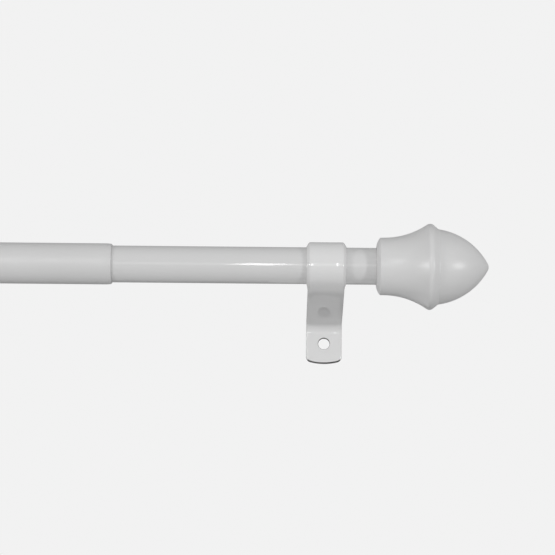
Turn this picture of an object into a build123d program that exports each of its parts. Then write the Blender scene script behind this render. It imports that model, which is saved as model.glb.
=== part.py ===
"""Extendable cafe curtain rod: two telescoping tubes, two strip brackets and two push-on finials.

Frame, in millimetres: +X runs along the rod towards its thinner end, +Y points into the wall and
+Z is up. The origin is the left bracket's screw hole, where its axis meets the wall.
"""

import os
from math import acos, atan2, cos, degrees, hypot, radians, sin, sqrt, tan

from build123d import *

# Telescoping tubes
inner_diameter = 13.0
tube_wall = 0.5
inner_length = 400.0
outer_length = 400.0
tube_clearance = 0.25
lip_clearance = 0.1
lip_length = 1.8

# Places along the rod at rest
rest_exposure = 93.2
finial_to_bracket = 17.6

# Strip that both brackets are bent from
strip_width = 13.0
strip_thickness = 1.7
strip_edge_radius = 0.4
eye_clearance = 0.15
eye_outer_narrowing = 0.9
eye_inner_spread = 1.2
eye_end_gap = 0.3
neck_length = 5.0
fold_radius = 3.2

# Bracket as it stands on the wall
rod_to_wall = 40.0
rod_above_screw = 20.2
screw_below_fold = 6.4
screw_above_end = 7.3
screw_hole_diameter = 4.2
plate_end_radius = 20.0
plate_corner_radius = 2.0

# Finial outline, from its foot on the tube to its tip
finial_length = 39.7
shoulder_length = 1.4
shoulder_bulge = 0.3
collar_diameter = 20.3
collar_length = 1.2
rim_radius = 0.3
bead_diameter = 30.4
bead_radius = 1.9
bead_place = 18.9
bead_fall_angle = 40.0
dome_base_diameter = 26.6
dome_radius = 23.6
tip_radius = 2.4

# Finial socket and the core behind it
socket_depth = 14.0
socket_end_gap = 0.2
socket_clearance = 0.3
rib_clearance = 0.05
rib_width = 1.2
rib_count = 6
rib_lead_in = 2.0
core_step = 1.2
core_depth = 27.0
core_draft_angle = 4.0

# Sizes that follow from the ones above
inner_radius = inner_diameter / 2
outer_bore_radius = inner_radius + tube_clearance
outer_radius = outer_bore_radius + tube_wall
rod_height = rod_above_screw
tube_seat = socket_depth - socket_end_gap
left_foot_x = -finial_to_bracket
outer_start_x = left_foot_x - tube_seat
mouth_x = outer_start_x + outer_length
right_foot_x = mouth_x + rest_exposure
right_bracket_x = right_foot_x - finial_to_bracket
inner_end_x = right_foot_x + tube_seat

rod_axis = Axis((0, -rod_to_wall, rod_height), (1, 0, 0))


def revolved_tube(outline):
    """Turn a closed (x, radius) outline about the rod's axis."""
    plane = Plane((0, -rod_to_wall, rod_height), x_dir=(1, 0, 0), z_dir=(0, -1, 0))
    section = plane * make_face(Polyline(*outline, close=True))
    return revolve(section, rod_axis)


def make_inner_tube():
    """Plain tube with square ends."""
    bore_radius = inner_radius - tube_wall
    start_x = inner_end_x - inner_length
    return revolved_tube(
        [
            (start_x, bore_radius),
            (start_x, inner_radius),
            (inner_end_x, inner_radius),
            (inner_end_x, bore_radius),
        ]
    )


def make_outer_tube():
    """Tube whose mouth is rolled in until it nearly touches the inner tube."""
    lip_drop = tube_clearance - lip_clearance
    lip_x = mouth_x - lip_length
    return revolved_tube(
        [
            (outer_start_x, outer_bore_radius),
            (outer_start_x, outer_radius),
            (lip_x, outer_radius),
            (mouth_x, outer_radius - lip_drop),
            (mouth_x, outer_bore_radius - lip_drop),
            (lip_x, outer_bore_radius),
        ]
    )


def strip_section(outer_width, inner_width):
    """Section of the strip: x across it, y from its round-edged outer face at 0 to its inner face."""
    corners = [
        (-outer_width / 2, 0),
        (outer_width / 2, 0),
        (inner_width / 2, strip_thickness),
        (-inner_width / 2, strip_thickness),
    ]
    section = make_face(Polyline(*corners, close=True))
    return fillet(section.vertices().group_by(Axis.Y)[0], strip_edge_radius)


def wall_plate(top_z, end_z, front_y):
    """Flat end of the strip with a slightly arched end, rounded corners and a screw hole."""
    half = strip_width / 2
    arch_rise = plate_end_radius - sqrt(plate_end_radius**2 - half**2)
    side_z = end_z + arch_rise
    outline = Polyline((half, side_z), (half, top_z), (-half, top_z), (-half, side_z))
    outline += ThreePointArc((-half, side_z), (0, end_z), (half, side_z))
    face = make_face(outline)
    face = fillet(face.vertices().group_by(Axis.Y)[0], plate_corner_radius)
    front = Plane((0, front_y, 0), x_dir=(1, 0, 0), z_dir=(0, -1, 0))
    plate = extrude(front * face, -strip_thickness)
    front_edges = plate.faces().sort_by(Axis.Y)[0].edges()
    plate = fillet(front_edges.sort_by(Axis.Z)[:-1], strip_edge_radius)
    screw_hole = front * Pos(0, -rod_above_screw) * Circle(screw_hole_diameter / 2)
    return plate - extrude(screw_hole, -strip_thickness)


def make_bracket(tube_radius, bracket_x):
    """Bend one strip into an eye round the rod, an arm back to the wall, a fold and a wall plate."""
    eye_radius = tube_radius + eye_clearance + strip_thickness
    plate_front_y = rod_to_wall - strip_thickness
    fold_drop = rod_above_screw - screw_below_fold
    end_drop = rod_above_screw + screw_above_end

    # The arm's lower face runs from the fold's corner to its tangent point on the eye.
    reach = hypot(plate_front_y, fold_drop)
    slope = acos(eye_radius / reach) - atan2(plate_front_y, fold_drop)
    arm_back = Vector(0, cos(slope), -sin(slope))
    arm_down = Vector(0, -sin(slope), -cos(slope))
    tangent_point = arm_down * eye_radius
    neck_point = tangent_point + arm_back * neck_length

    flat = strip_section(strip_width, strip_width)
    bent = strip_section(strip_width - eye_outer_narrowing, strip_width + eye_inner_spread)
    neck_start = Plane(tangent_point, x_dir=(-1, 0, 0), z_dir=arm_back)
    neck_end = Plane(neck_point, x_dir=(-1, 0, 0), z_dir=arm_back)

    # The eye's free end comes down behind the rod and stops just above the arm.
    free_angle = degrees(acos((eye_radius - strip_thickness - eye_end_gap) / eye_radius))
    eye_section = neck_start * bent
    eye = revolve(eye_section, Axis((0, 0, 0), (-1, 0, 0)), 360 - free_angle)
    neck = loft([eye_section.face(), (neck_end * flat).face()], ruled=True)

    # Below the fold the strip turns straight down into the wall plate.
    plate_top_z = -fold_drop - fold_radius
    fold_corner = (0, plate_front_y, -fold_drop)
    path = FilletPolyline(neck_point, fold_corner, (0, plate_front_y, plate_top_z), radius=fold_radius)
    arm = sweep(neck_end * flat, path=path)
    plate = wall_plate(plate_top_z, -end_drop, plate_front_y)
    return Pos(bracket_x, -rod_to_wall, rod_height) * (eye + neck + arm + plate)


def dome_centre(base, tip_centre):
    """Centre of the dome's arc: through its base point and rounding smoothly into the tip."""
    span = tip_centre - base
    gap = span.length
    inner = dome_radius - tip_radius
    along = (gap**2 + dome_radius**2 - inner**2) / (2 * gap)
    across = sqrt(dome_radius**2 - along**2)
    direction = span.normalized()
    return base + direction * along + Vector(direction.Y, -direction.X) * across


def finial_outside(foot_radius):
    """Half section of the finial as if it were solid: x from its foot, y as radius."""
    collar_radius = collar_diameter / 2
    foot = Vector(0, foot_radius)
    rim = Vector(shoulder_length, collar_radius)
    neck = Vector(shoulder_length + collar_length, collar_radius)

    # The shoulder swells a little out of the straight line from the foot to the rim.
    climb = (rim - foot).normalized()
    shoulder_mid = (foot + rim) / 2 + Vector(-climb.Y, climb.X) * shoulder_bulge

    # The flared neck is one arc, tangent to the collar and to the bead.
    bead_centre = Vector(bead_place, bead_diameter / 2 - bead_radius)
    run = bead_centre.X - neck.X
    rise = bead_centre.Y - collar_radius
    flare_radius = (run**2 + rise**2 - bead_radius**2) / (2 * (rise + bead_radius))
    flare_centre = neck + Vector(0, flare_radius)
    flare_mid_angle = atan2(run, flare_centre.Y - bead_centre.Y) / 2
    flare_mid = flare_centre + Vector(sin(flare_mid_angle), -cos(flare_mid_angle)) * flare_radius
    bead_start = bead_centre + (flare_centre - bead_centre).normalized() * bead_radius

    # The bead falls at a steady angle to a crease at the dome's base.
    fall = radians(bead_fall_angle)
    bead_top = Vector(bead_centre.X, bead_diameter / 2)
    bead_end = bead_centre + Vector(sin(fall), cos(fall)) * bead_radius
    base_drop = bead_end.Y - dome_base_diameter / 2
    base = Vector(bead_end.X + base_drop / tan(fall), dome_base_diameter / 2)

    tip_centre = Vector(finial_length - tip_radius, 0)
    centre = dome_centre(base, tip_centre)
    tip_start = tip_centre + (tip_centre - centre).normalized() * tip_radius
    dome_mid = centre + ((base + tip_start) / 2 - centre).normalized() * dome_radius
    tip = Vector(finial_length, 0)
    tip_mid = tip_centre + ((tip_start + tip) / 2 - tip_centre).normalized() * tip_radius

    outline = Polyline((0, 0), foot)
    outline += ThreePointArc(foot, shoulder_mid, rim)
    outline += Line(rim, neck)
    outline += ThreePointArc(neck, flare_mid, bead_start)
    outline += ThreePointArc(bead_start, bead_top, bead_end)
    outline += Line(bead_end, base)
    outline += ThreePointArc(base, dome_mid, tip_start)
    outline += ThreePointArc(tip_start, tip_mid, tip)
    outline += Line(tip, (0, 0))
    face = make_face(outline)
    return fillet(face.vertices().sort_by_distance(rim)[0], rim_radius)


def make_finial(tube_radius):
    """Moulded finial standing on its foot along +X, with a ribbed socket for a tube of this radius."""
    socket_radius = tube_radius + socket_clearance
    core_radius = tube_radius - tube_wall - core_step
    core_end_radius = core_radius - (core_depth - socket_depth) * tan(radians(core_draft_angle))
    hollow = Polyline(
        (0, 0),
        (0, socket_radius),
        (socket_depth, socket_radius),
        (socket_depth, core_radius),
        (core_depth, core_end_radius),
        (core_depth, 0),
        close=True,
    )
    body = revolve(finial_outside(socket_radius) - make_face(hollow), Axis.X)

    # Crush ribs stand in from the socket's wall and stop short of the tube by a hair.
    rib_height = socket_clearance - rib_clearance + rib_width / 2
    rib_length = socket_depth - rib_lead_in
    rib_centre = tube_radius + rib_clearance + rib_height / 2
    rib = Pos(rib_lead_in + rib_length / 2, 0, rib_centre) * Box(rib_length, rib_width, rib_height)
    for index in range(rib_count):
        body += Rot(X=index * 360 / rib_count) * rib
    return body


def place_finial(finial, foot_x, turn):
    """Put a finial's foot on the rod at foot_x, turned about the vertical."""
    return Pos(foot_x, -rod_to_wall, rod_height) * Rot(Z=turn) * finial


nodes = {
    "outer_tube": make_outer_tube(),
    "inner_tube": make_inner_tube(),
    "bracket_left": make_bracket(outer_radius, 0),
    "bracket_right": make_bracket(inner_radius, right_bracket_x),
    "finial_left": place_finial(make_finial(outer_radius), left_foot_x, 180),
    "finial_right": place_finial(make_finial(inner_radius), right_foot_x, 0),
}

os.makedirs("parts", exist_ok=True)
for name, solid in nodes.items():
    export_step(solid, f"parts/{name}.step")
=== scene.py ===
# %% [markdown]
# # An extendable cafe curtain rod
#
# Two thin steel tubes slide one inside the other, a bent steel strip holds each end to the wall, and an
# acorn-shaped plastic finial is pushed on each end. Everything is white, so the whole picture is made of
# shading: three slightly different finishes, a few crisp edges and the reflections in the gloss paint.
# The engineering model comes in first as a fixed frame. Every piece below is built where that frame says.

from math import acos, atan2, cos, hypot, pi, radians, sin, sqrt, tan

import bmesh
import bpy
from mathutils import Matrix, Vector


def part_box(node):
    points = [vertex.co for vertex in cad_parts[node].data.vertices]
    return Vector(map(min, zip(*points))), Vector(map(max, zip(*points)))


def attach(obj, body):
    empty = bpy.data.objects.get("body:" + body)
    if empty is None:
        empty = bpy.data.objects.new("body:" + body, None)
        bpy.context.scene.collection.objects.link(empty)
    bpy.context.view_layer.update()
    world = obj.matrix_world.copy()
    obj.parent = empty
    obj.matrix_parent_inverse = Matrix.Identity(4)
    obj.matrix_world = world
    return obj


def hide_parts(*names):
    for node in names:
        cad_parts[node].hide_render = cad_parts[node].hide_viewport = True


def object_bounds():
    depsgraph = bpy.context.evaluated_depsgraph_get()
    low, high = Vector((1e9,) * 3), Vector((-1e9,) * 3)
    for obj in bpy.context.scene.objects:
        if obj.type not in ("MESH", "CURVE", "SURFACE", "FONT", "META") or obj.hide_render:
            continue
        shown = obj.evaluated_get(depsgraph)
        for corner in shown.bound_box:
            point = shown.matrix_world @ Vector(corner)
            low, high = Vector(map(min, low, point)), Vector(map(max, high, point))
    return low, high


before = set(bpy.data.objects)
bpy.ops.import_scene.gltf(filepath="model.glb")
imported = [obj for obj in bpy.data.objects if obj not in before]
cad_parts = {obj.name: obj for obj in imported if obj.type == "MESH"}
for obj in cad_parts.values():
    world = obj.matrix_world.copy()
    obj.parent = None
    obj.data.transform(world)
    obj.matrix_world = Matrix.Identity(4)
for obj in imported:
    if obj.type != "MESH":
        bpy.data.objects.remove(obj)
cad_low, cad_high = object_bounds()

MM = 0.001


def in_mm(lengths):
    """Lengths in millimetres, rounded for the printed notes."""
    return [round(length / MM, 2) for length in lengths]


print("frame holds", sorted(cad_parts))
print("frame reaches from", in_mm(cad_low), "to", in_mm(cad_high), "mm")

# %% [markdown]
# ## The rod's own line
#
# All the turned pieces share one axis. It could be typed in as numbers, but it is read from the inner tube's
# box, and so are the radii of the two tubes: a piece that slides inside another has to keep exactly the size
# that it has in the frame.

# %% Find the rod's axis and the tubes' sizes
inner_low, inner_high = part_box("inner_tube")
outer_low, outer_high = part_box("outer_tube")
rod_y = (inner_low.y + inner_high.y) / 2
rod_z = (inner_low.z + inner_high.z) / 2
inner_radius = (inner_high.z - inner_low.z) / 2
outer_radius = (outer_high.z - outer_low.z) / 2


def middle_x(node):
    """Place of a node's middle along the rod."""
    low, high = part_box(node)
    return (low.x + high.x) / 2


print("rod axis at y and z", in_mm((rod_y, rod_z)), "tube radii", in_mm((inner_radius, outer_radius)), "mm")

# %% [markdown]
# ## Camera
#
# The photograph looks up at the rod from a little below: the underside of the bracket's arm shows, and the
# tubes hardly converge, so it was taken with a long lens. A camera could be moved by hand until the picture
# fits. Here it is placed backwards from one known point, the middle of the right bracket's eye, whose place
# in the picture is known in pixels. A small roll makes the rod slope down to the right as it does there.

# %% Place the camera
picture_pixels = 555
focal_pixels = 2550
eye_pixel_x = 326.3
eye_pixel_y = 265.9
camera_distance = 0.9
camera_elevation = radians(-13)
camera_roll = radians(0.53)
film_width = 36

back = Vector((0, -cos(camera_elevation), sin(camera_elevation)))
level_right = Vector((1, 0, 0))
level_up = back.cross(level_right)
right = level_right * cos(camera_roll) + level_up * sin(camera_roll)
up = level_up * cos(camera_roll) - level_right * sin(camera_roll)

metres_per_pixel = camera_distance / focal_pixels
eye_middle = Vector((middle_x("bracket_right"), rod_y, rod_z))
aim = eye_middle - right * (eye_pixel_x - picture_pixels / 2) * metres_per_pixel
aim -= up * (picture_pixels / 2 - eye_pixel_y) * metres_per_pixel
lens_place = aim + back * camera_distance

camera_data = bpy.data.cameras.new("long_lens")
camera_data.sensor_width = film_width
camera_data.lens = film_width * focal_pixels / picture_pixels
camera = bpy.data.objects.new("camera", camera_data)
camera.matrix_world = Matrix.Translation(lens_place) @ Matrix((right, up, back)).transposed().to_4x4()
bpy.context.scene.collection.objects.link(camera)
bpy.context.scene.camera = camera
bpy.context.scene.view_settings.view_transform = "Standard"
print("camera at", in_mm(lens_place), "mm, lens", round(camera_data.lens, 1), "mm")

# %% [markdown]
# ## Node tools
#
# Finishes, floor and background are all small graphs of shader nodes. They could be wired up by hand in the
# shader editor. A script that wires them needs a few helpers, so that each graph below stays short enough to
# be read from top to bottom.

# %% Make the node tools
def grey(tone):
    """A neutral colour of this tone."""
    return (tone, tone, tone, 1)


def empty_tree(owner):
    """The node tree of a world or a finish, cleared for nodes of our own."""
    owner.use_nodes = True
    owner.node_tree.nodes.clear()
    return owner.node_tree


def add_node(tree, kind, **values):
    """Add a node and set its plain values, given by the sockets' names with _ for a space."""
    made = tree.nodes.new(kind)
    for name, value in values.items():
        made.inputs[name.replace("_", " ")].default_value = value
    return made


def add_math(tree, operation, first, second):
    """The result of one math operation on two sockets."""
    made = add_node(tree, "ShaderNodeMath")
    made.operation = operation
    tree.links.new(first, made.inputs[0])
    tree.links.new(second, made.inputs[1])
    return made.outputs[0]


def mix_shaders(tree, share, first, second):
    """A shader that goes from the first to the second as the share goes from 0 to 1."""
    mix = add_node(tree, "ShaderNodeMixShader")
    tree.links.new(share, mix.inputs["Fac"])
    tree.links.new(first.outputs[0], mix.inputs[1])
    tree.links.new(second.outputs[0], mix.inputs[2])
    return mix


def show(tree, shader, output_kind="ShaderNodeOutputMaterial"):
    """Lead a shader to the tree's output."""
    output = add_node(tree, output_kind)
    tree.links.new(shader.outputs[0], output.inputs["Surface"])


print("node tools ready, white is", grey(1))

# %% [markdown]
# ## Background
#
# A white object on a pale ground needs darker edges, or it melts away. A photographer gets them by lighting
# from the front and keeping the room behind the object dim. An ordinary sky picture would light the rod from
# all round, so the world is a plain fade instead: bright in front of the rod and a little above it, almost
# dark behind it. The camera and glass see the pale grey of the picture in its place. Mirrors see a share of
# that grey, enough for a gloss and too little to wipe out the dark edges.

# %% Make the studio world
pale_ground = grey(0.887)
studio_front = 0.575
studio_back = 0.005
studio_tilt = radians(20)
mirrored_share = 0.4


def pale_rays(tree):
    """Share of a ray that meets the pale ground: all for the camera and glass, some for a mirror."""
    path = add_node(tree, "ShaderNodeLightPath")
    mirrored = add_node(tree, "ShaderNodeMapRange", To_Max=mirrored_share)
    tree.links.new(path.outputs["Is Glossy Ray"], mirrored.inputs["Value"])
    straight = add_math(tree, "MAXIMUM", path.outputs["Is Camera Ray"], path.outputs["Is Transmission Ray"])
    return add_math(tree, "MAXIMUM", straight, mirrored.outputs["Result"])


def light_studio():
    """A world that fades from front to back, hidden behind the pale ground for what looks straight at it."""
    world = bpy.data.worlds.new("studio")
    tree = empty_tree(world)
    direction = add_node(tree, "ShaderNodeTexCoord")
    frontal = add_node(tree, "ShaderNodeVectorMath")
    frontal.operation = "DOT_PRODUCT"
    frontal.inputs[1].default_value = (0, -cos(studio_tilt), sin(studio_tilt))
    fade = add_node(
        tree, "ShaderNodeMapRange", From_Min=-1, From_Max=1, To_Min=studio_back, To_Max=studio_front
    )
    studio = add_node(tree, "ShaderNodeBackground", Color=grey(1))
    ground = add_node(tree, "ShaderNodeBackground", Color=pale_ground)
    tree.links.new(direction.outputs["Generated"], frontal.inputs[0])
    tree.links.new(frontal.outputs["Value"], fade.inputs["Value"])
    tree.links.new(fade.outputs["Result"], studio.inputs["Strength"])
    show(tree, mix_shaders(tree, pale_rays(tree), studio, ground), "ShaderNodeOutputWorld")
    return world


bpy.context.scene.world = light_studio()
print("world from", studio_front, "in front to", studio_back, "behind")

# %% [markdown]
# ## Floor
#
# The rod hangs on a wall well above a plain pale floor, which only shows when the camera looks down. It is a
# single square. From underneath it is clear, so that a low camera still sees the rod: a real floor would
# simply be in the way.

# %% Lay the floor
floor_drop = 1.5
floor_half = 1.5
floor_tone = 0.8


def mix_floor_paint():
    """Matt white for the light, the pale ground for the camera, and clear from below."""
    finish = bpy.data.materials.new("pale_floor")
    tree = empty_tree(finish)
    matt = add_node(tree, "ShaderNodeBsdfDiffuse", Color=grey(floor_tone))
    glow = add_node(tree, "ShaderNodeEmission", Color=pale_ground)
    clear = add_node(tree, "ShaderNodeBsdfTransparent")
    facing = add_node(tree, "ShaderNodeNewGeometry")
    from_above = mix_shaders(tree, pale_rays(tree), matt, glow)
    show(tree, mix_shaders(tree, facing.outputs["Backfacing"], from_above, clear))
    return finish


def place_mesh(name, mesh, finish):
    """An object with this mesh and finish, put into the scene."""
    data = bpy.data.meshes.new(name)
    mesh.to_mesh(data)
    mesh.free()
    data.materials.append(finish)
    placed = bpy.data.objects.new(name, data)
    bpy.context.scene.collection.objects.link(placed)
    return placed


floor_mesh = bmesh.new()
bmesh.ops.create_grid(floor_mesh, x_segments=1, y_segments=1, size=floor_half)
floor = place_mesh("floor", floor_mesh, mix_floor_paint())
floor.location = (eye_middle.x, 0, rod_z - floor_drop)
print("floor", floor_drop, "m below the rod")

# %% [markdown]
# ## Side lamps
#
# The photograph tells where its lamps stood. The bracket's eye and the finial's collar each throw a short
# shadow along the tube, one to the left and one to the right, and the finial has one soft highlight on each
# slope. So there were two lamps, far out to the left and right at about the height of the rod. Each is an
# area lamp, because a bare point would give hard shadows. Its power is worked out from how light it makes a
# white card that faces it, which is easier to judge than watts.

# %% Hang the side lamps
lamp_distance = 1.1
side_elevation = radians(-4)
side_size = 0.12
left_angle = radians(-61)
left_level = 0.24
right_angle = radians(54)
right_level = 0.27


def watts_for_level(level, distance):
    """Power that lights a white surface facing the lamp, at this distance, to this level."""
    return level * (pi * distance) ** 2


def hang_lamp(name, azimuth, elevation, distance, width, height, watts):
    """An oval area lamp aimed at the eye of the right bracket, hidden from the camera."""
    data = bpy.data.lights.new(name, "AREA")
    data.shape = "ELLIPSE"
    data.size = width
    data.size_y = height
    data.energy = watts
    lamp = bpy.data.objects.new(name, data)
    away = Vector((sin(azimuth) * cos(elevation), -cos(azimuth) * cos(elevation), sin(elevation)))
    lamp.location = eye_middle + away * distance
    lamp.rotation_mode = "QUATERNION"
    lamp.rotation_quaternion = away.to_track_quat("Z", "Y")
    lamp.visible_camera = False
    bpy.context.scene.collection.objects.link(lamp)
    return lamp


side_lamps = (("left_lamp", left_angle, left_level), ("right_lamp", right_angle, right_level))
for lamp_name, lamp_angle, lamp_level in side_lamps:
    lamp_watts = watts_for_level(lamp_level, lamp_distance)
    hang_lamp(lamp_name, lamp_angle, side_elevation, lamp_distance, side_size, side_size, lamp_watts)
    print(lamp_name, round(lamp_watts, 2), "W")

# %% [markdown]
# ## Lamps by the lens
#
# A gloss tube mirrors its lamps as lines. The one bright dash on the thin tube comes from a narrow upright
# lamp close to the lens, and the faint glow to both sides of it from wide, dim wings. A soft key lamp, in
# front and a little to the left and above, models the eye and the finial. A single large lamp could light
# all of this, but it would smear the dash along the whole tube.

# %% Hang the lamps by the lens
dash_angle = radians(-1.74)
dash_elevation = radians(-7)
dash_distance = 1.0
dash_width = 0.04
dash_height = 0.24
dash_glow = 8.5
wing_width = 0.6
wing_glow = 0.8
key_angle = radians(-15.5)
key_elevation = radians(6)
key_level = 0.13
key_size = 0.2


def watts_for_glow(glow, width, height):
    """Power that makes a lamp of this size look this bright in a mirror."""
    return glow * pi * width * height


dash_watts = watts_for_glow(dash_glow, dash_width, dash_height)
hang_lamp("dash_lamp", dash_angle, dash_elevation, dash_distance, dash_width, dash_height, dash_watts)
key_watts = watts_for_level(key_level, lamp_distance)
hang_lamp("key_lamp", key_angle, key_elevation, lamp_distance, key_size, key_size, key_watts)
wing_watts = watts_for_glow(wing_glow, wing_width, dash_height)
hang_lamp("wing_lamp", dash_angle, dash_elevation, dash_distance, wing_width, dash_height, wing_watts)
print("dash, key and wing lamps", round(dash_watts, 2), round(key_watts, 2), round(wing_watts, 2), "W")

# %% [markdown]
# ## Lamp behind
#
# The dark side of the studio leaves little to see from behind. One more lamp, straight behind the rod and
# hidden from mirrors, lifts its back for the other views. More light in the world would do so too, but it
# would also fill the dark edges of the main view.

# %% Hang the lamp behind
back_level = 0.55
back_distance = 2.0
back_size = 0.5

back_watts = watts_for_level(back_level, back_distance)
back_lamp = hang_lamp("back_lamp", pi, -camera_elevation, back_distance, back_size, back_size, back_watts)
back_lamp.visible_glossy = False
print("back lamp", round(back_watts, 2), "W")

# %% [markdown]
# ## Mixing finishes
#
# A perfectly even white looks like a computer's white. Real paint and plastic vary a little in tone, in
# sheen and in height. Pictures could be laid over the pieces for that, but noise needs no picture and no
# unwrapping, and it can be set in waves per metre. All three finishes are mixed from the same few helpers.

# %% Make the mixing tools
noise_low = 0.3
noise_high = 0.7
soft_detail = 2
fine_detail = 4
lightest_share = 1.01


def start_finish(name):
    """A new finish: its material, its node tree, its shader and the piece's own coordinates."""
    finish = bpy.data.materials.new(name)
    tree = empty_tree(finish)
    shader = add_node(tree, "ShaderNodeBsdfPrincipled")
    place = add_node(tree, "ShaderNodeTexCoord")
    show(tree, shader)
    return finish, tree, shader, place.outputs["Object"]


def wander(tree, place, per_metre, low, high, detail=soft_detail):
    """Noise of so many waves per metre, brought between a low and a high value."""
    noise = add_node(tree, "ShaderNodeTexNoise", Scale=per_metre, Detail=detail)
    spread = add_node(
        tree, "ShaderNodeMapRange", From_Min=noise_low, From_Max=noise_high, To_Min=low, To_Max=high
    )
    spread.clamp = False
    tree.links.new(place, noise.inputs["Vector"])
    tree.links.new(noise.outputs[0], spread.inputs["Value"])
    return spread.outputs["Result"]


def cloud_tone(tree, place, per_metre, tone, darkest_share, detail=soft_detail):
    """A grey that wanders in soft clouds, from the darkest share of its tone to a touch above it."""
    ramp = add_node(tree, "ShaderNodeValToRGB")
    ramp.color_ramp.elements[0].color = grey(tone * darkest_share)
    ramp.color_ramp.elements[1].color = grey(tone * lightest_share)
    tree.links.new(wander(tree, place, per_metre, 0, 1, detail), ramp.inputs["Fac"])
    return ramp.outputs["Color"]


def vary_sheen(tree, shader, place, per_metre, low, high):
    """Let the shader's roughness wander between two values."""
    tree.links.new(wander(tree, place, per_metre, low, high), shader.inputs["Roughness"])


def raise_bumps(tree, shader, place, per_metre, height):
    """Let the surface rise and fall by this height in metres, so many times per metre."""
    bump = add_node(tree, "ShaderNodeBump", Strength=1, Distance=height)
    tree.links.new(wander(tree, place, per_metre, 0, 1), bump.inputs["Height"])
    tree.links.new(bump.outputs["Normal"], shader.inputs["Normal"])


print("noise is stretched from", noise_low, "to", noise_high)

# %% [markdown]
# ## Gloss white paint
#
# The thin tube and both brackets are sprayed with a hard white gloss, so smooth that the arm mirrors the
# screw hole below it. What betrays paint is orange peel: a faint waviness about a millimetre across, which
# only shows where a highlight runs over it. In the screw hole and on the plate's end the cut edge is bare,
# and it is painted near black. That tone is partly the bare steel and partly painted shade, standing in for
# the shade inside the hole and under the plate's downward end. The mesh marks those points in an attribute,
# and the paint turns into that dark colour there, which saves a second material and a border between the
# two.

# %% Mix the gloss paint
tube_tone = 0.653
strip_tone = 0.729
gloss_darkest = 0.985
gloss_clouds_per_metre = 30
gloss_roughness = 0.045
gloss_rub = 1.25
gloss_rubs_per_metre = 140
peel_per_metre = 800
peel_height = 0.0015 * MM
paint_ior = 1.5
# Near black: partly bare steel, partly painted shade for the hole's inside and the plate's downward end.
bare_steel_and_shade = (0.05, 0.049, 0.047, 1)
cut_and_shade_mark = "cut_edge_and_shade"


def mix_gloss_paint(name, tone):
    """Hard white gloss of this tone, near black where the mesh marks a cut edge: bare steel and painted
    shade.
    """
    finish, tree, shader, place = start_finish(name)
    cut = add_node(tree, "ShaderNodeAttribute")
    cut.attribute_name = cut_and_shade_mark
    colour = add_node(tree, "ShaderNodeMix")
    colour.data_type = "RGBA"
    colour.inputs["B"].default_value = bare_steel_and_shade
    paint = cloud_tone(tree, place, gloss_clouds_per_metre, tone, gloss_darkest)
    # Marked cut edges turn near black here: bare steel, and painted shade in the hole and on the plate's
    # end.
    tree.links.new(cut.outputs["Fac"], colour.inputs["Factor"])
    tree.links.new(paint, colour.inputs["A"])
    tree.links.new(colour.outputs["Result"], shader.inputs["Base Color"])
    smoothest = gloss_roughness / gloss_rub
    roughest = gloss_roughness * gloss_rub
    vary_sheen(tree, shader, place, gloss_rubs_per_metre, smoothest, roughest)
    raise_bumps(tree, shader, place, peel_per_metre, peel_height)
    shader.inputs["IOR"].default_value = paint_ior
    return finish


tube_gloss = mix_gloss_paint("tube_gloss_paint", tube_tone)
strip_gloss = mix_gloss_paint("strip_gloss_paint", strip_tone)
print("gloss paint", len(strip_gloss.node_tree.nodes), "nodes")

# %% [markdown]
# ## Satin white paint
#
# The outer tube has a powder coat. The powder melts into a skin of fine grains under half a millimetre
# across, so its sheen is broad and it has no sharp highlight. A rougher gloss paint would be close, but the
# grain is what shows in a near view, so it gets bumps of its own size.

# %% Mix the satin paint
satin_tone = 0.637
satin_darkest = 0.98
satin_clouds_per_metre = 45
satin_roughness = 0.42
satin_rub = 0.05
satin_rubs_per_metre = 200
grain_per_metre = 2600
grain_height = 0.004 * MM


def mix_satin_paint():
    """Powder coat with a fine grain."""
    finish, tree, shader, place = start_finish("powder_coat")
    paint = cloud_tone(tree, place, satin_clouds_per_metre, satin_tone, satin_darkest, fine_detail)
    tree.links.new(paint, shader.inputs["Base Color"])
    smoothest = satin_roughness - satin_rub
    roughest = satin_roughness + satin_rub
    vary_sheen(tree, shader, place, satin_rubs_per_metre, smoothest, roughest)
    raise_bumps(tree, shader, place, grain_per_metre, grain_height)
    shader.inputs["IOR"].default_value = paint_ior
    return finish


satin_paint = mix_satin_paint()
print("satin paint", len(satin_paint.node_tree.nodes), "nodes")

# %% [markdown]
# ## Satin white plastic
#
# The finials are moulded. The mould was blasted to a fine matt, which gives small soft highlights, and the
# plastic lets a trace of light in below its skin. More of that glow would look like wax and fill the crease
# under the dome, so it is kept low.

# %% Mix the plastic
plastic_tone = 0.68
plastic_darkest = 0.985
plastic_clouds_per_metre = 60
plastic_roughness = 0.34
plastic_rub = 0.04
plastic_rubs_per_metre = 260
blast_per_metre = 3800
blast_height = 0.003 * MM
plastic_ior = 1.47
plastic_glow = 0.2
glow_reach = 1.5 * MM


def mix_plastic():
    """Matt moulded plastic with a little light below its skin."""
    finish, tree, shader, place = start_finish("matt_moulded_plastic")
    skin = cloud_tone(tree, place, plastic_clouds_per_metre, plastic_tone, plastic_darkest, fine_detail)
    tree.links.new(skin, shader.inputs["Base Color"])
    smoothest = plastic_roughness - plastic_rub
    roughest = plastic_roughness + plastic_rub
    vary_sheen(tree, shader, place, plastic_rubs_per_metre, smoothest, roughest)
    raise_bumps(tree, shader, place, blast_per_metre, blast_height)
    shader.inputs["IOR"].default_value = plastic_ior
    shader.inputs["Subsurface Weight"].default_value = plastic_glow
    shader.inputs["Subsurface Radius"].default_value = (1, 1, 1)
    shader.inputs["Subsurface Scale"].default_value = glow_reach
    return finish


plastic = mix_plastic()
print("plastic", len(plastic.node_tree.nodes), "nodes")

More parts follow.
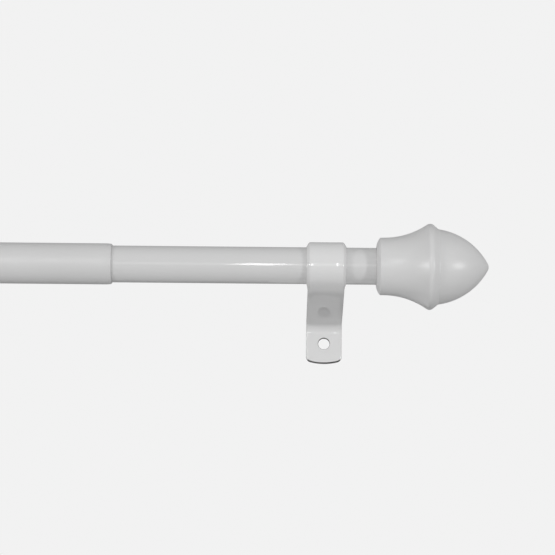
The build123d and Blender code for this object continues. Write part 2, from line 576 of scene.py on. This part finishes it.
# %% [markdown]
# ## Turning round pieces
#
# Tubes and finials are all turned: an outline of (place along the rod, radius) goes once round the axis.
# The Screw modifier could do that too, but a few lines of mesh code give control over the poles and keep
# every corner rounded by a real radius, because it is the small rounded corner that catches the light.

# %% Make the outline tools
corner_steps = 6
hold_width = 0.05 * MM


def steps_between(start, end, count):
    """Evenly spaced values from start to end, with both of them."""
    return [start + (end - start) * i / count for i in range(count + 1)]


def arc(centre, radius, start, end, steps):
    """Points of an arc between two angles, counted from the rod's direction towards outside."""
    angles = steps_between(start, end, steps)
    return [centre + Vector((cos(angle), sin(angle))) * radius for angle in angles]


def round_corner(before, corner, after, radius):
    """Points of an arc that rounds one corner, with a point close to each end to keep the sides straight."""
    towards_before = (before - corner).normalized()
    towards_after = (after - corner).normalized()
    half = towards_before.angle(towards_after) / 2
    centre = corner + (towards_before + towards_after).normalized() * radius / sin(half)
    start = corner + towards_before * radius / tan(half) - centre
    end = corner + towards_after * radius / tan(half) - centre
    angles = steps_between(0, -start.angle_signed(end), corner_steps)
    points = [centre + Matrix.Rotation(angle, 2) @ start for angle in angles]
    return [points[0] + towards_before * hold_width, *points, points[-1] + towards_after * hold_width]


def round_loop(corners):
    """A closed outline from (x, radius, rounding) corners, each rounded by its own amount."""
    points = [Vector(corner[:2]) for corner in corners]
    outline = []
    for i, corner in enumerate(corners):
        outline += round_corner(points[i - 1], points[i], points[(i + 1) % len(points)], corner[2])
    return outline


print("each rounded corner has", corner_steps + 1, "points")

# %% [markdown]
# The outline then goes round the rod in many small sides. Smooth shading hides these sides, and only creases
# sharper than a set angle stay sharp. Each finished piece is handed over to the frame: it rides on a node's
# body, it stands in for that node, whose own mesh is hidden, and it carries its own finish.

# %% Make the turning tools
turned_sides = 112
crease_angle = radians(34)


def turn(outline):
    """A mesh of an outline turned round the rod. An outline that starts and ends off the axis is a loop."""
    mesh = bmesh.new()
    rings = []
    for x, radius in outline:
        sides = turned_sides if radius > 0 else 1
        turns = steps_between(0, 2 * pi, sides)[:-1]
        rings.append([mesh.verts.new((x, rod_y + radius * sin(t), rod_z + radius * cos(t))) for t in turns])
    pairs = list(zip(rings, rings[1:]))
    if len(rings[0]) > 1:
        pairs.append((rings[-1], rings[0]))
    for first, second in pairs:
        for i in range(turned_sides):
            near = (first[i % len(first)], first[(i + 1) % len(first)])
            far = (second[(i + 1) % len(second)], second[i % len(second)])
            mesh.faces.new(dict.fromkeys(near + far))
    return mesh


def hand_over(mesh, name, finish, node):
    """Turn a finished mesh into a smooth piece that stands for a node and moves with it."""
    bmesh.ops.recalc_face_normals(mesh, faces=mesh.faces)
    piece = place_mesh(name, mesh, finish)
    piece.data.shade_smooth()
    piece.data.set_sharp_from_angle(angle=crease_angle)
    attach(piece, node)
    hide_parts(node)
    print(name, "has", len(piece.data.polygons), "faces")


print("turned pieces have", turned_sides, "sides")

# %% [markdown]
# ## The two tubes
#
# Both are thin welded steel. The inner one is cut off square and only deburred. The outer one is rolled in
# at its mouth, so that it guides the inner tube without a rattle; that roll is the small taper where the
# two meet. A plain cylinder would do from afar, but the wall's thickness shows once a finial is pulled off.

# %% Turn the tubes
tube_wall = 0.5 * MM
burr_radius = 0.12 * MM
lip_length = 1.8 * MM
lip_drop = 0.15 * MM
lip_bend_radius = 2.5 * MM
lip_edge_radius = 0.42 * MM
lip_inside_radius = 0.1 * MM


def turn_inner_tube():
    """The thin tube, square at both ends."""
    bore = inner_radius - tube_wall
    corners = [
        (inner_low.x, bore, burr_radius),
        (inner_low.x, inner_radius, burr_radius),
        (inner_high.x, inner_radius, burr_radius),
        (inner_high.x, bore, burr_radius),
    ]
    return turn(round_loop(corners))


def turn_outer_tube():
    """The wide tube, with its mouth rolled in."""
    bore = outer_radius - tube_wall
    lip_x = outer_high.x - lip_length
    corners = [
        (outer_low.x, bore, burr_radius),
        (outer_low.x, outer_radius, burr_radius),
        (lip_x, outer_radius, lip_bend_radius),
        (outer_high.x, outer_radius - lip_drop, lip_edge_radius),
        (outer_high.x, bore - lip_drop, lip_inside_radius),
        (lip_x, bore, lip_bend_radius),
    ]
    return turn(round_loop(corners))


hand_over(turn_inner_tube(), "thin_tube", tube_gloss, "inner_tube")
hand_over(turn_outer_tube(), "wide_tube", satin_paint, "outer_tube")

# %% [markdown]
# ## The finials
#
# An acorn: a shoulder that swells a little, a short collar, a neck that flares in one long arc, a round
# bead, a soft crease and a pointed dome. The outline could be drawn as a free curve. Arcs that run into each
# other without a kink read as one moulded surface, though, so each arc's centre is worked out from its
# neighbours instead of being set by eye.

# %% Draw the acorn's outline
finial_length = 39.7 * MM
shoulder_length = 1.4 * MM
shoulder_bulge = 0.3 * MM
collar_radius = 10.15 * MM
collar_length = 1.2 * MM
rim_radius = 0.3 * MM
bead_outside_radius = 15.2 * MM
bead_radius = 1.9 * MM
bead_place = 18.9 * MM
bead_fall = radians(40)
crease_radius = 1 * MM
dome_base_radius = 13.3 * MM
dome_radius = 23.6 * MM
tip_radius = 2.4 * MM
shoulder_steps = 8
flare_steps = 28
bead_steps = 16
dome_steps = 32
tip_steps = 8


def angle_of(vector):
    """Angle of a flat vector from the rod's direction."""
    return atan2(vector.y, vector.x)


def bulging_line(start, end, bulge, steps):
    """Points from start to end along a shallow parabola that stands out by the bulge on its left."""
    left = Vector((start.y - end.y, end.x - start.x)).normalized()
    shares = steps_between(0, 1, steps)
    return [start.lerp(end, share) + left * bulge * 4 * share * (1 - share) for share in shares]


def dome_centre(base, tip_centre):
    """Centre of the dome's arc, which starts at its base and rounds smoothly into the tip."""
    span = tip_centre - base
    along = (span.length_squared + dome_radius**2 - (dome_radius - tip_radius) ** 2) / (2 * span.length)
    across = sqrt(dome_radius**2 - along**2)
    direction = span.normalized()
    return base + direction * along + Vector((direction.y, -direction.x)) * across


def acorn_outside(foot_radius):
    """Outline from the foot's edge to the tip, with x from the foot."""
    foot = Vector((0, foot_radius))
    rim = Vector((shoulder_length, collar_radius))
    neck = Vector((shoulder_length + collar_length, collar_radius))
    shoulder = bulging_line(foot, rim, shoulder_bulge, shoulder_steps)
    outline = shoulder[1:-2] + round_corner(shoulder[-2], rim, neck, rim_radius)

    bead_centre = Vector((bead_place, bead_outside_radius - bead_radius))
    run, rise = bead_centre - neck
    flare_radius = (run**2 + rise**2 - bead_radius**2) / (2 * (rise + bead_radius))
    flare_centre = neck + Vector((0, flare_radius))
    flare_end = angle_of(bead_centre - flare_centre)
    outline += arc(flare_centre, flare_radius, -pi / 2, flare_end, flare_steps)
    outline += arc(bead_centre, bead_radius, flare_end + pi, pi / 2 - bead_fall, bead_steps)[1:]

    bead_end = outline[-1]
    drop = bead_end.y - dome_base_radius
    base = Vector((bead_end.x + drop / tan(bead_fall), dome_base_radius))
    tip_centre = Vector((finial_length - tip_radius, 0))
    centre = dome_centre(base, tip_centre)
    tip_angle = angle_of(tip_centre - centre)
    dome = arc(centre, dome_radius, angle_of(base - centre), tip_angle, dome_steps)
    outline += round_corner(bead_end, base, dome[1], crease_radius)
    return outline + dome[2:] + arc(tip_centre, tip_radius, tip_angle, 0, tip_steps)[1:]


print("outline has", len(acorn_outside(inner_radius)), "points")

# %% [markdown]
# ## The finial's socket
#
# Inside, a finial is a socket for the tube and a tapered core behind it. Six thin ribs along the socket are
# crushed a little when it is pushed on, and that is all that holds it. They show when the finial is off.
# They could be boxes of their own. Here some points of the socket's two rings are simply drawn inwards, so
# that socket and ribs stay one skin.

# %% Turn the finials
foot_edge_radius = 0.15 * MM
socket_clearance = 0.3 * MM
socket_depth = 14 * MM
core_step = 1.2 * MM
core_depth = 27 * MM
core_draft = radians(4)
rib_count = 6
rib_clearance = 0.05 * MM
rib_width = 1.2 * MM
rib_lead_in = 2 * MM
rib_ramp = 0.4 * MM
measuring_slack = 0.02 * MM


def draw_ribs(mesh, tube_radius, socket, foot_x, way):
    """Draw the socket's points inwards wherever a rib runs along it."""
    rib_share = (tube_radius + rib_clearance) / socket
    rib_half_angle = rib_width / 2 / socket
    for vertex in mesh.verts:
        place = way * (vertex.co.x - foot_x)
        across = Vector((vertex.co.y - rod_y, vertex.co.z - rod_z))
        from_rib = (angle_of(across) + pi / rib_count) % (2 * pi / rib_count) - pi / rib_count
        in_socket = rib_lead_in - measuring_slack < place < socket_depth + measuring_slack
        on_wall = abs(across.length - socket) < measuring_slack
        if in_socket and on_wall and abs(from_rib) < rib_half_angle:
            vertex.co.y = rod_y + across.x * rib_share
            vertex.co.z = rod_z + across.y * rib_share


def turn_finial(tube_radius, foot_x, way):
    """A finial with its foot at foot_x, which points along the rod with a way of 1, against it with -1."""
    socket = tube_radius + socket_clearance
    core = tube_radius - tube_wall - core_step
    core_end = core - (core_depth - socket_depth) * tan(core_draft)
    inside = [(core_depth, 0), (core_depth, core_end), (socket_depth, core), (socket_depth, socket)]
    inside += [(rib_lead_in, socket), (rib_lead_in - rib_ramp, socket)]
    outside = acorn_outside(socket)
    foot = round_corner(Vector(inside[-1]), Vector((0, socket)), outside[0], foot_edge_radius)
    outline = [*map(Vector, inside), *foot, *outside]
    # The arc's last point misses the axis by a rounding error, and the tip has to be a single point on it.
    outline[-1].y = 0
    mesh = turn([(foot_x + way * x, radius) for x, radius in outline])
    draw_ribs(mesh, tube_radius, socket, foot_x, way)
    return mesh


left_foot_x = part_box("finial_left")[1].x
right_foot_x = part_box("finial_right")[0].x
acorn_right = turn_finial(inner_radius, right_foot_x, 1)
acorn_left = turn_finial(outer_radius, left_foot_x, -1)
hand_over(acorn_right, "acorn_right", plastic, "finial_right")
hand_over(acorn_left, "acorn_left", plastic, "finial_left")

# %% [markdown]
# ## The brackets: a flat blank
#
# A bracket is one steel strip, cut, punched and then bent. It could be modelled in its bent shape, but it is
# made here in the maker's order, because the bends then come out right by themselves. The flat blank is a
# long strip with an arched end and a screw hole. Each outline is a walk of stations, and every station also
# knows which way is out of the steel.

# %% Draw the blank's outlines
strip_half = 6.5 * MM
plate_end_radius = 20 * MM
plate_end_steps = 8
plate_corner_radius = 2 * MM
plate_corner_steps = 10
hole_radius = 2.1 * MM
hole_from_end = 7.3 * MM
hole_sides = 48


def round_stations(x, along, radius, start, end, steps):
    """Stations (x, along, outward x, outward along) of an arc round the point (x, along)."""
    angles = steps_between(start, end, steps)
    return [(x + radius * cos(a), along + radius * sin(a), cos(a), sin(a)) for a in angles]


def end_outline():
    """Right half of the arched end, from the strip's side to its middle."""
    corner_x = strip_half - plate_corner_radius
    corner_along = plate_end_radius - sqrt((plate_end_radius - plate_corner_radius) ** 2 - corner_x**2)
    meet = atan2(corner_along - plate_end_radius, corner_x)
    corner = round_stations(corner_x, corner_along, plate_corner_radius, 0, meet, plate_corner_steps)
    end = round_stations(0, plate_end_radius, plate_end_radius, meet, -pi / 2, plate_end_steps)
    return corner + end[1:]


def hole_outline():
    """The screw hole, where out of the steel is towards its middle."""
    circle = round_stations(0, hole_from_end, hole_radius, 0, 2 * pi, hole_sides)[:-1]
    return [(x, along, -out_x, -out_along) for x, along, out_x, out_along in circle]


print("half of the arched end has", len(end_outline()), "stations, the hole", len(hole_outline()))

# %% [markdown]
# ## The brackets: painted edges
#
# Wet paint draws back from an edge and piles up beside it, so a low ridge of fatter paint runs along the
# edges of the front face and catches the lamps as a thin line. A Bevel modifier would round the edges, but
# it knows nothing of that ridge. So ridge and rounding are one small profile, which is carried along the
# outlines.

# %% Shape the painted edge
strip_thickness = 1.7 * MM
front_edge_radius = 0.4 * MM
back_edge_radius = 0.15 * MM
hole_edge_radius = 0.22 * MM
edge_steps = 5
ridge_height = 0.025 * MM
ridge_inset = 1.75 * MM
ridge_half = 1.3 * MM
hole_ridge_inset = 0.75 * MM
hole_ridge_half = 0.5 * MM
ridge_steps = 12


def edge_profile(rounding, inset, half):
    """(inset, depth) of an edge with its ridge, from the front face over the side to the back face."""
    profile = [(inset + half + hold_width, ridge_height)]
    for across in steps_between(1, -1, ridge_steps):
        hump = ridge_height * (1 + cos(pi * across)) / 2
        profile.append((inset + half * across, ridge_height - hump))
    for angle in steps_between(0, pi / 2, edge_steps):
        profile.append((rounding * (1 - sin(angle)), ridge_height + rounding * (1 - cos(angle))))
    for angle in steps_between(0, pi / 2, edge_steps):
        depth = strip_thickness - back_edge_radius * (1 - sin(angle))
        profile.append((back_edge_radius * (1 - cos(angle)), depth))
    return [*profile, (back_edge_radius + hold_width, strip_thickness)]


side_profile = edge_profile(front_edge_radius, ridge_inset, ridge_half)
hole_profile = edge_profile(hole_edge_radius, hole_ridge_inset, hole_ridge_half)
print("edge profile has", len(side_profile), "points")

# %% [markdown]
# ## The brackets: the bending path
#
# The blank's long way is laid along a path: up the wall plate, round the fold, along the arm and round the
# eye. A Curve modifier could bend a strip along a curve, but here each stretch is a straight line or an arc
# with a real bending radius, and the arm runs into the eye without a kink. The path follows the strip's
# front face.

# %% Lay out the bending path
fold_radius = 3.2 * MM
fold_above_hole = 6.4 * MM
eye_clearance = 0.15 * MM
eye_end_gap = 0.3 * MM
neck_length = 5 * MM
fold_rows = 14
neck_rows = 6
eye_rows = 110
wall_y = cad_high.y
plate_end_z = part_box("bracket_right")[0].z


def bending_path(tube_radius):
    """Stretches of the path, each with its name, its length, its turn and its number of rows."""
    eye_radius = tube_radius + eye_clearance + strip_thickness
    plate_front = wall_y - strip_thickness - rod_y
    fold_drop = rod_z - (plate_end_z + hole_from_end + fold_above_hole)
    reach = hypot(plate_front, fold_drop)
    slope = acos(eye_radius / reach) - atan2(plate_front, fold_drop)
    fold_turn = pi / 2 - slope
    fold_cut = fold_radius * tan(fold_turn / 2)
    free_angle = acos((eye_radius - strip_thickness - eye_end_gap) / eye_radius)
    plate_length = hole_from_end + fold_above_hole - fold_cut
    arm_length = sqrt(reach**2 - eye_radius**2) - fold_cut
    eye_turn = 2 * pi - free_angle
    return [
        ("plate", plate_length, 0, 1),
        ("fold", fold_radius * fold_turn, fold_turn, fold_rows),
        ("arm", arm_length - neck_length, 0, 1),
        ("neck", neck_length, 0, neck_rows),
        ("eye", eye_radius * eye_turn, -eye_turn, eye_rows),
    ]


def walk_path(stretches, along):
    """Point and direction this far along the path, the stretch there and how much of it is passed."""
    point = Vector((wall_y - strip_thickness, plate_end_z))
    heading = pi / 2
    for stretch, length, bend, _ in stretches:
        part = along if stretch == "eye" else min(along, length)
        angle = bend * part / length
        if bend:
            radius = length / bend
            after = heading + angle
            point += radius * Vector((sin(after) - sin(heading), cos(heading) - cos(after)))
        else:
            point += part * Vector((cos(heading), sin(heading)))
        heading += angle
        along -= part
        if along <= 0:
            break
    return point, Vector((cos(heading), sin(heading))), stretch, part / length


right_lengths = in_mm(stretch[1] for stretch in bending_path(inner_radius))
print("plate, fold, arm, neck and eye of the right bracket", right_lengths, "mm")

# %% [markdown]
# ## The brackets: stitching the blank
#
# The blank is stitched together from its edge bands and two faces. Along the strip each row is one quad
# from side to side, and round the screw hole Blender fills the gap between the two outlines by itself.
# Cutting the hole with a Boolean modifier would be shorter, but it leaves no rounded edge and no place for
# the mark of the cut edge, which the paint turns near black: partly bare steel, partly painted shade for the
# hole's inside and the plate's downward end. That mark goes by the way a station looks: at the plate's end
# only the stations that look down along the strip are marked, and in the hole all of them are.

# %% Stitch the blank
paint_wrap = 1.5 * ridge_height
bare_and_shaded_at_plate_end = -0.7
bare_and_shaded_all_round = 1


def edge_band(mesh, walk, profile, bare_and_shaded_limit):
    """Carry a profile once round a walk and return its first and last ring of points.

    The side of the edge is marked where its outward way along the strip is no more than the limit: bare
    steel and painted shade.
    """
    bare_and_shaded = mesh.verts.layers.float[cut_and_shade_mark]
    rings = []
    for inset, depth in profile:
        on_side = paint_wrap < depth < strip_thickness
        ring = []
        for x, along, out_x, out_along in walk:
            vertex = mesh.verts.new((x - inset * out_x, along - inset * out_along, depth))
            # Marked points turn near black in the paint: bare steel and painted shade.
            vertex[bare_and_shaded] = float(on_side and out_along <= bare_and_shaded_limit)
            ring.append(vertex)
        rings.append(ring)
    for first, second in zip(rings, rings[1:]):
        for i in range(len(walk)):
            j = (i + 1) % len(walk)
            mesh.faces.new((first[i], first[j], second[j], second[i]))
    return rings[0], rings[-1]


def cut_blank(stretches):
    """The flat strip: x across it, y along it from the plate's end, z into it from its front face."""
    mesh = bmesh.new()
    mesh.verts.layers.float.new(cut_and_shade_mark)
    rows = []
    reached = 0
    for _, length, _, count in stretches:
        rows += [reached + length * (i + 1) / count for i in range(count)]
        reached = rows[-1]
    free_corner = (strip_half, rows[-1], 1, 1)
    right_side = [(strip_half, row, 1, 0) for row in reversed(rows[:-1])]
    right_half = [free_corner, *right_side, *end_outline()]
    left_half = [(-x, along, -out_x, out_along) for x, along, out_x, out_along in reversed(right_half[:-1])]
    faces = edge_band(mesh, right_half + left_half, side_profile, bare_and_shaded_at_plate_end)
    holes = edge_band(mesh, hole_outline(), hole_profile, bare_and_shaded_all_round)
    for outline, hole in zip(faces, holes):
        for i in range(len(rows) - 1):
            mesh.faces.new((outline[i], outline[i + 1], outline[-2 - i], outline[-1 - i]))
        plate = outline[len(rows) - 1 : len(outline) - len(rows) + 1]
        edges = []
        for loop in (plate, hole):
            edges += [mesh.edges.get(pair) for pair in zip(loop, loop[1:] + loop[:1])]
        bmesh.ops.triangle_fill(mesh, edges=edges, use_beauty=True)
    return mesh


print("paint reaches", in_mm((paint_wrap,)), "mm over a bare edge")

# %% [markdown]
# ## The brackets: bending
#
# Each point of the blank keeps its distance across the strip and its depth into it, and only its place along
# the strip is moved onto the path. Round the eye the strip's inner face is squeezed wider and its outer face
# is stretched narrower, as it is in a real tight bend. Over the neck that change comes in gradually.

# %% Bend the brackets
eye_outer_narrowing = 0.9 * MM
eye_inner_spread = 1.2 * MM


def bend_blank(mesh, stretches, bracket_x):
    """Move every point of the flat blank to its place on the bent strip."""
    outer_share = 1 - eye_outer_narrowing / (2 * strip_half)
    inner_share = 1 + eye_inner_spread / (2 * strip_half)
    for vertex in mesh.verts:
        x, along, depth = vertex.co
        point, forward, stretch, part = walk_path(stretches, along)
        squeeze = {"neck": part, "eye": 1}.get(stretch, 0)
        bent_share = outer_share + (inner_share - outer_share) * depth / strip_thickness
        inward = Vector((forward.y, -forward.x))
        y, z = point + inward * depth
        vertex.co = (bracket_x + x * (1 + (bent_share - 1) * squeeze), y, z)


def make_bracket(name, node, tube_radius):
    """Cut, bend and hand over the bracket whose eye goes round a tube of this radius."""
    stretches = bending_path(tube_radius)
    mesh = cut_blank(stretches)
    bend_blank(mesh, stretches, middle_x(node))
    hand_over(mesh, name, strip_gloss, node)


make_bracket("strip_bracket_right", "bracket_right", inner_radius)
make_bracket("strip_bracket_left", "bracket_left", outer_radius)

# %% [markdown]
# ## A white card
#
# The gloss arm is a mirror for whatever is behind and below the plate. A photographer stands a small white
# card there, so that the front of the arm fades softly into the eye instead of showing a dark stripe. Only
# mirrors see this card, every other ray passes through it. It fades out at its top, or its edge would be
# mirrored as a hard line. A lamp in its place would light the plate as well.

# %% Stand the card
card_half_width = 20 * MM
card_height = 60 * MM
card_gap = 0.3 * MM
card_fade = 2.5 * MM
card_glow = 1.15
card_top = plate_end_z - card_gap


def mix_card_white():
    """A pale glow that only mirrors see, faded out towards the card's top."""
    finish = bpy.data.materials.new("card_white")
    tree = empty_tree(finish)
    path = add_node(tree, "ShaderNodeLightPath")
    place = add_node(tree, "ShaderNodeTexCoord")
    height = add_node(tree, "ShaderNodeSeparateXYZ")
    fade = add_node(
        tree, "ShaderNodeMapRange", From_Min=card_top - card_fade, From_Max=card_top, To_Min=1, To_Max=0
    )
    clear = add_node(tree, "ShaderNodeBsdfTransparent")
    white = add_node(tree, "ShaderNodeEmission", Color=pale_ground, Strength=card_glow)
    tree.links.new(place.outputs["Object"], height.inputs[0])
    tree.links.new(height.outputs["Z"], fade.inputs["Value"])
    seen = add_math(tree, "MULTIPLY", path.outputs["Is Glossy Ray"], fade.outputs["Result"])
    show(tree, mix_shaders(tree, seen, clear, white))
    return finish


def cut_card():
    """An upright rectangle on the wall plane, below the right bracket's plate."""
    left_x = eye_middle.x - card_half_width
    right_x = eye_middle.x + card_half_width
    bottom = card_top - card_height
    mesh = bmesh.new()
    corners = ((left_x, card_top), (right_x, card_top), (right_x, bottom), (left_x, bottom))
    mesh.faces.new([mesh.verts.new((x, wall_y, z)) for x, z in corners])
    return mesh


card = place_mesh("white_card", cut_card(), mix_card_white())
print("card is", in_mm((2 * card_half_width, card_height)), "mm")
